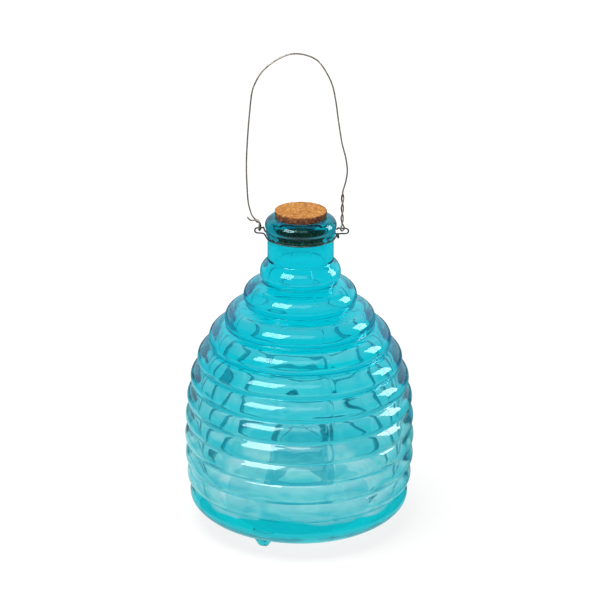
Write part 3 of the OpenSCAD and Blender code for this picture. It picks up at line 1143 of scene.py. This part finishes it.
        ends = [2 * route[0] - route[1], *route, 2 * route[-1] - route[-2]]
        curve = []
        for four in zip(ends, ends[1:], ends[2:], ends[3:]):
            spans = [max(1e-6, np.linalg.norm(b - a)) ** 0.5 for a, b in zip(four, four[1:])]
            knots = np.cumsum([0, *spans])
            count = max(1, round(np.linalg.norm(four[2] - four[1]) / self.spacing))
            for t in np.linspace(knots[1], knots[2], count, endpoint=False):
                three = [mix(i, i + 1, four[i], four[i + 1]) for i in range(3)]
                two = [mix(i, i + 2, three[i], three[i + 1]) for i in range(2)]
                curve.append(mix(1, 2, *two))
        return np.array([*curve, route[-1]])

    def tube(self, name: str, route: np.ndarray, metal: Material) -> Object:
        """Sweeps round wire along a route, with cut ends that are broken a little at the edge.

        Args:
            name: the piece's name.
            route: points to pass through.
            metal: the finish.

        Returns:
            The wire.
        """
        path = self.smooth(route)
        ahead = unit(np.gradient(path, axis=0))
        side = np.cross(ahead[0], (0.3, 0.5, 0.8))
        radius = self.wire_d / 2
        rings = []
        for i, (middle, heading) in enumerate(zip(path, ahead)):
            side = unit(side - side.dot(heading) * heading)
            up = np.cross(heading, side)
            turn = np.linspace(0, math.tau, self.sides, endpoint=False)[:, None]
            size = radius * (self.cut_share if i in (0, len(path) - 1) else 1.0)
            rings.append(middle + size * (np.cos(turn) * side + np.sin(turn) * up))
        points = np.concatenate(rings)
        faces = grid_faces(len(path), self.sides, round_columns=False)
        faces.append(tuple(range(self.sides)))
        faces.append(tuple(range(len(points) - self.sides, len(points))))
        return mesh_object(name, points, faces, metal)

    def build(self, metal: Material, dark: Material) -> list[Object]:
        """Makes both wires.

        Args:
            metal: the finish of the bail.
            dark: the finish of the neck wire.

        Returns:
            The neck wire on the jar's body, and the bail on its own.
        """
        neck = self.tube("drawn_neck_wire", self.neck_route(), dark)
        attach(neck, "jar")
        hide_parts("neck_wire")
        bail = self.tube("twisted_bail_wire", self.bail_route(), metal)
        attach(bail, "bail")
        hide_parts("bail_wire")
        return [neck, bail]


@dataclass(frozen=True)
class Lamp:
    """A soft rectangular lamp that faces the jar.

    turn is the angle round the jar from the camera's side, positive to the right, and rise the angle over the
    floor. away is the distance and size the width and height, in metres, and power is in watts. A diffuse lamp
    lights matt surfaces; any other only shows as a reflection in glass and metal.
    """

    name: str
    turn: float
    rise: float
    away: float
    size: Pair
    power: float
    diffuse: bool = False


@dataclass
class Studio:
    """White sweep, soft lamps and the camera at the photograph's angle, in metres."""

    frame_px: float = 600.0
    focal_px: float = 2643.0
    sensor_mm: float = 36.0
    aim_z: float = 0.093
    distance: float = 1.5
    elevation: float = 21.8
    roll: float = 0.43
    aim_px: Pair = (300.24, 367.41)
    floor_half: float = 3.0
    floor_colour: str = "#F4F4F4"
    floor_share: float = 0.8
    floor_glow: Pair = (1.08, 1.24)
    glow_r: Pair = (0.15, 0.6)
    sky_level: float = 0.15
    dim_mirrored: float = 0.2
    dim_turned: float = 0.7
    dim_through: float = 0.8
    mirrored_turns: int = 2
    sweep_mirrored: float = 1.0
    sweep_edge: Pair = (0.45, 0.7)
    shade_mirrored: float = 0.85
    shade_through: float = 0.95
    shade_r: Pair = (0.08, 0.11)
    bright_r: Pair = (0.2, 0.34)
    flag_r: float = 0.086
    flag_foot: float = 0.001
    flag_turns: Pair = (-85.0, 130.0)
    flag_tops: Pair = (0.068, 0.076)
    flag_steps: int = 44
    lamp_turns: int = 4
    lamps: tuple[Lamp, ...] = (
        Lamp("left_softbox", -43, 38, 1.2, (0.7, 0.75), 19),
        Lamp("right_softbox", 108, 18, 1.2, (0.42, 0.75), 11),
        Lamp("front_softbox", -5, 44, 1.2, (1.0, 0.55), 3.5),
        Lamp("key_light", -35, 74, 1.6, (1.0, 1.0), 26, diffuse=True),
    )
    bounces: int = 20

    def camera(self) -> Object:
        """Makes the camera, tilted so that the jar's middle falls where the photograph has it.

        Returns:
            The camera, set as the scene's own.
        """
        data = bpy.data.cameras.new("camera")
        data.sensor_width = self.sensor_mm
        data.lens = self.focal_px / self.frame_px * self.sensor_mm
        camera = linked_object("camera", data)
        rise = math.radians(self.elevation)
        camera.location = (0, -self.distance * math.cos(rise), self.aim_z + self.distance * math.sin(rise))
        half = self.frame_px / 2
        tilt = math.atan((self.aim_px[1] - half) / self.focal_px)
        turn = math.atan((self.aim_px[0] - half) / self.focal_px)
        aimed = Matrix.Rotation(turn, 3, "Z") @ Matrix.Rotation(math.pi / 2 - rise + tilt, 3, "X")
        camera.rotation_euler = (aimed @ Matrix.Rotation(math.radians(self.roll), 3, "Z")).to_euler()
        bpy.context.scene.camera = camera
        return camera

    def dim_level(self, tree: NodeTree) -> Node:
        """Brightness of the dim surroundings in reflections, higher for light that has turned inside the glass."""
        return add_node(tree, "Mix", {
            0: turns_over(tree, self.mirrored_turns), 2: self.dim_mirrored, 3: self.dim_turned})

    def paper(self) -> Material:
        """Makes the floor's matt white paper.

        Returns:
            Paper that looks white to the camera, with a painted shadow of the jar under it where glass shows it,
            and dim far from the jar in reflections.
        """
        material, tree = new_material("white_paper_sweep")
        matt = add_node(tree, "BsdfDiffuse", {"Color": linear(self.floor_colour)})
        place = add_node(tree, "TexCoord").outputs["Object"]
        path = add_node(tree, "LightPath").outputs
        away = add_node(tree, "VectorMath", {0: place}, operation="LENGTH")
        # painted shadow: the floor under the jar is darker only where glass shows it
        near = {"Value": away, **limits("From", self.shade_r)}
        through = add_node(tree, "MapRange", {**near, "To Min": self.shade_through})
        under = add_node(tree, "MapRange", {**near, "To Min": self.shade_mirrored})
        far = add_node(tree, "MapRange", {
            "Value": away, **limits("From", self.bright_r), "To Min": 1.0, "To Max": self.dim_level(tree)})
        mirrored = add_node(tree, "Math", {0: under, 1: far}, operation="MULTIPLY")
        share = add_node(tree, "Math", {0: path["Is Camera Ray"], 1: self.floor_share}, operation="MULTIPLY")
        level = add_node(tree, "MapRange", {
            "Value": away, **limits("From", self.glow_r), **limits("To", self.floor_glow)})
        for ray, seen in (("Is Glossy Ray", mirrored), ("Is Transmission Ray", through)):
            share = add_node(tree, "Math", {0: share, 1: path[ray]}, operation="MAXIMUM")
            level = add_node(tree, "Mix", {0: path[ray], 2: level, 3: seen})
        glow = add_node(tree, "Emission", {"Color": linear(WHITE), "Strength": level})
        mix = add_node(tree, "MixShader", {0: share, 1: matt, 2: glow})
        add_node(tree, "OutputMaterial", {"Surface": mix})
        return material

    def floor(self) -> Object:
        """Makes the pale floor.

        Returns:
            A flat square under the jar.
        """
        h = self.floor_half
        mesh = bpy.data.meshes.new("floor")
        mesh.from_pydata([(-h, -h, 0), (h, -h, 0), (h, h, 0), (-h, h, 0)], [], [(0, 1, 2, 3)])
        mesh.materials.append(self.paper())
        floor = linked_object("floor", mesh)
        return floor

    def world(self) -> None:
        """Makes the surroundings: white to the camera, a white sweep under a dim ceiling to glass and metal."""
        world = bpy.data.worlds.new("studio")
        bpy.context.scene.world = world
        tree = cleared_tree(world)
        heading = add_node(tree, "TexCoord").outputs["Generated"]
        path = add_node(tree, "LightPath").outputs
        back = add_node(tree, "VectorMath", {0: heading, 1: (0.0, 1.0, 0.0)}, operation="DOT_PRODUCT")
        level = self.sky_level
        for ray, dim, full in (
                ("Is Glossy Ray", self.dim_level(tree), self.sweep_mirrored),
                ("Is Transmission Ray", self.dim_through, 1.0)):
            sweep = add_node(tree, "MapRange", {
                "Value": back, **limits("From", self.sweep_edge), "To Min": dim, "To Max": full})
            level = add_node(tree, "Mix", {0: path[ray], 2: level, 3: sweep})
        level = add_node(tree, "Mix", {0: path["Is Camera Ray"], 2: level, 3: 1.0})
        sky = add_node(tree, "Background", {"Color": linear(WHITE), "Strength": level})
        add_node(tree, "OutputWorld", {"Surface": sky})

    def flag(self) -> Object:
        """Makes the low card round the jar that keeps the softboxes out of the lowest ribs' reflections.

        Returns:
            The card, marked as stage and seen only by first reflections.
        """
        material, tree = new_material("grey_card")
        card = add_node(tree, "Emission", {"Color": linear(WHITE), "Strength": self.dim_mirrored})
        gone = add_node(tree, "BsdfTransparent")
        mix = add_node(tree, "MixShader", {0: turns_over(tree, 1), 1: card, 2: gone})
        add_node(tree, "OutputMaterial", {"Surface": mix})
        steps = self.flag_steps
        points = []
        for i in range(steps + 1):
            a = math.radians(self.flag_turns[0] + (self.flag_turns[1] - self.flag_turns[0]) * i / steps)
            top = self.flag_tops[0] + (self.flag_tops[1] - self.flag_tops[0]) * i / steps
            x, y = self.flag_r * math.sin(a), -self.flag_r * math.cos(a)
            points += [(x, y, self.flag_foot), (x, y, top)]
        mesh = bpy.data.meshes.new("flag")
        mesh.from_pydata(points, [], [(2 * i, 2 * i + 2, 2 * i + 3, 2 * i + 1) for i in range(steps)])
        mesh.materials.append(material)
        flag = linked_object("flag", mesh)
        flag.visible_camera = flag.visible_diffuse = flag.visible_transmission = flag.visible_shadow = False
        return flag

    def light(self, plan: Lamp) -> None:
        """Adds a lamp, which light that has turned often inside the glass doesn't see.

        Args:
            plan: the lamp's place, size and power.
        """
        data = bpy.data.lights.new(plan.name, "AREA")
        data.shape = "RECTANGLE"
        data.size, data.size_y = plan.size
        data.energy = plan.power
        tree = cleared_tree(data)
        depth = add_node(tree, "LightPath").outputs["Ray Depth"]
        early = add_node(tree, "Math", {0: depth, 1: self.lamp_turns + HALF_TURN}, operation="LESS_THAN")
        glow = add_node(tree, "Emission", {"Strength": early})
        add_node(tree, "OutputLight", {"Surface": glow})
        lamp = linked_object(plan.name, data)
        a, e = math.radians(plan.turn), math.radians(plan.rise)
        towards = Vector((math.sin(a) * math.cos(e), -math.cos(a) * math.cos(e), math.sin(e)))
        lamp.location = towards * plan.away + Vector((0, 0, self.aim_z))
        lamp.rotation_euler = towards.to_track_quat("Z", "Y").to_euler()
        lamp.visible_camera = False
        lamp.visible_diffuse = plan.diffuse
        lamp.visible_glossy = not plan.diffuse
        lamp.visible_transmission = False

    def build(self) -> None:
        """Sets up the whole studio."""
        self.camera()
        self.floor()
        self.world()
        self.flag()
        for plan in self.lamps:
            self.light(plan)
        scene = bpy.context.scene
        scene.view_settings.view_transform = "Standard"
        cycles = scene.cycles
        cycles.max_bounces = cycles.glossy_bounces = cycles.transmission_bounces = self.bounces


def main() -> None:
    """Builds the fly trap and its studio."""
    logging.basicConfig(level=logging.INFO, format="%(name)s: %(message)s")
    Studio().build()
    pieces = [
        GlassJar().build(BlownGlass().material(), CLEAR_GLASS.material(), PALE_GLASS.material(),
                         BORE_GLASS.material()),
        CorkStopper().build(AgglomeratedCork().material()),
        *WireHanger().build(WeatheredWire().material(), DARK_WIRE.material()),
    ]
    for piece in pieces:
        log.info("%s: %d corners, %d faces", piece.name, len(piece.data.vertices), len(piece.data.polygons))


if __name__ == "__main__":
    main()
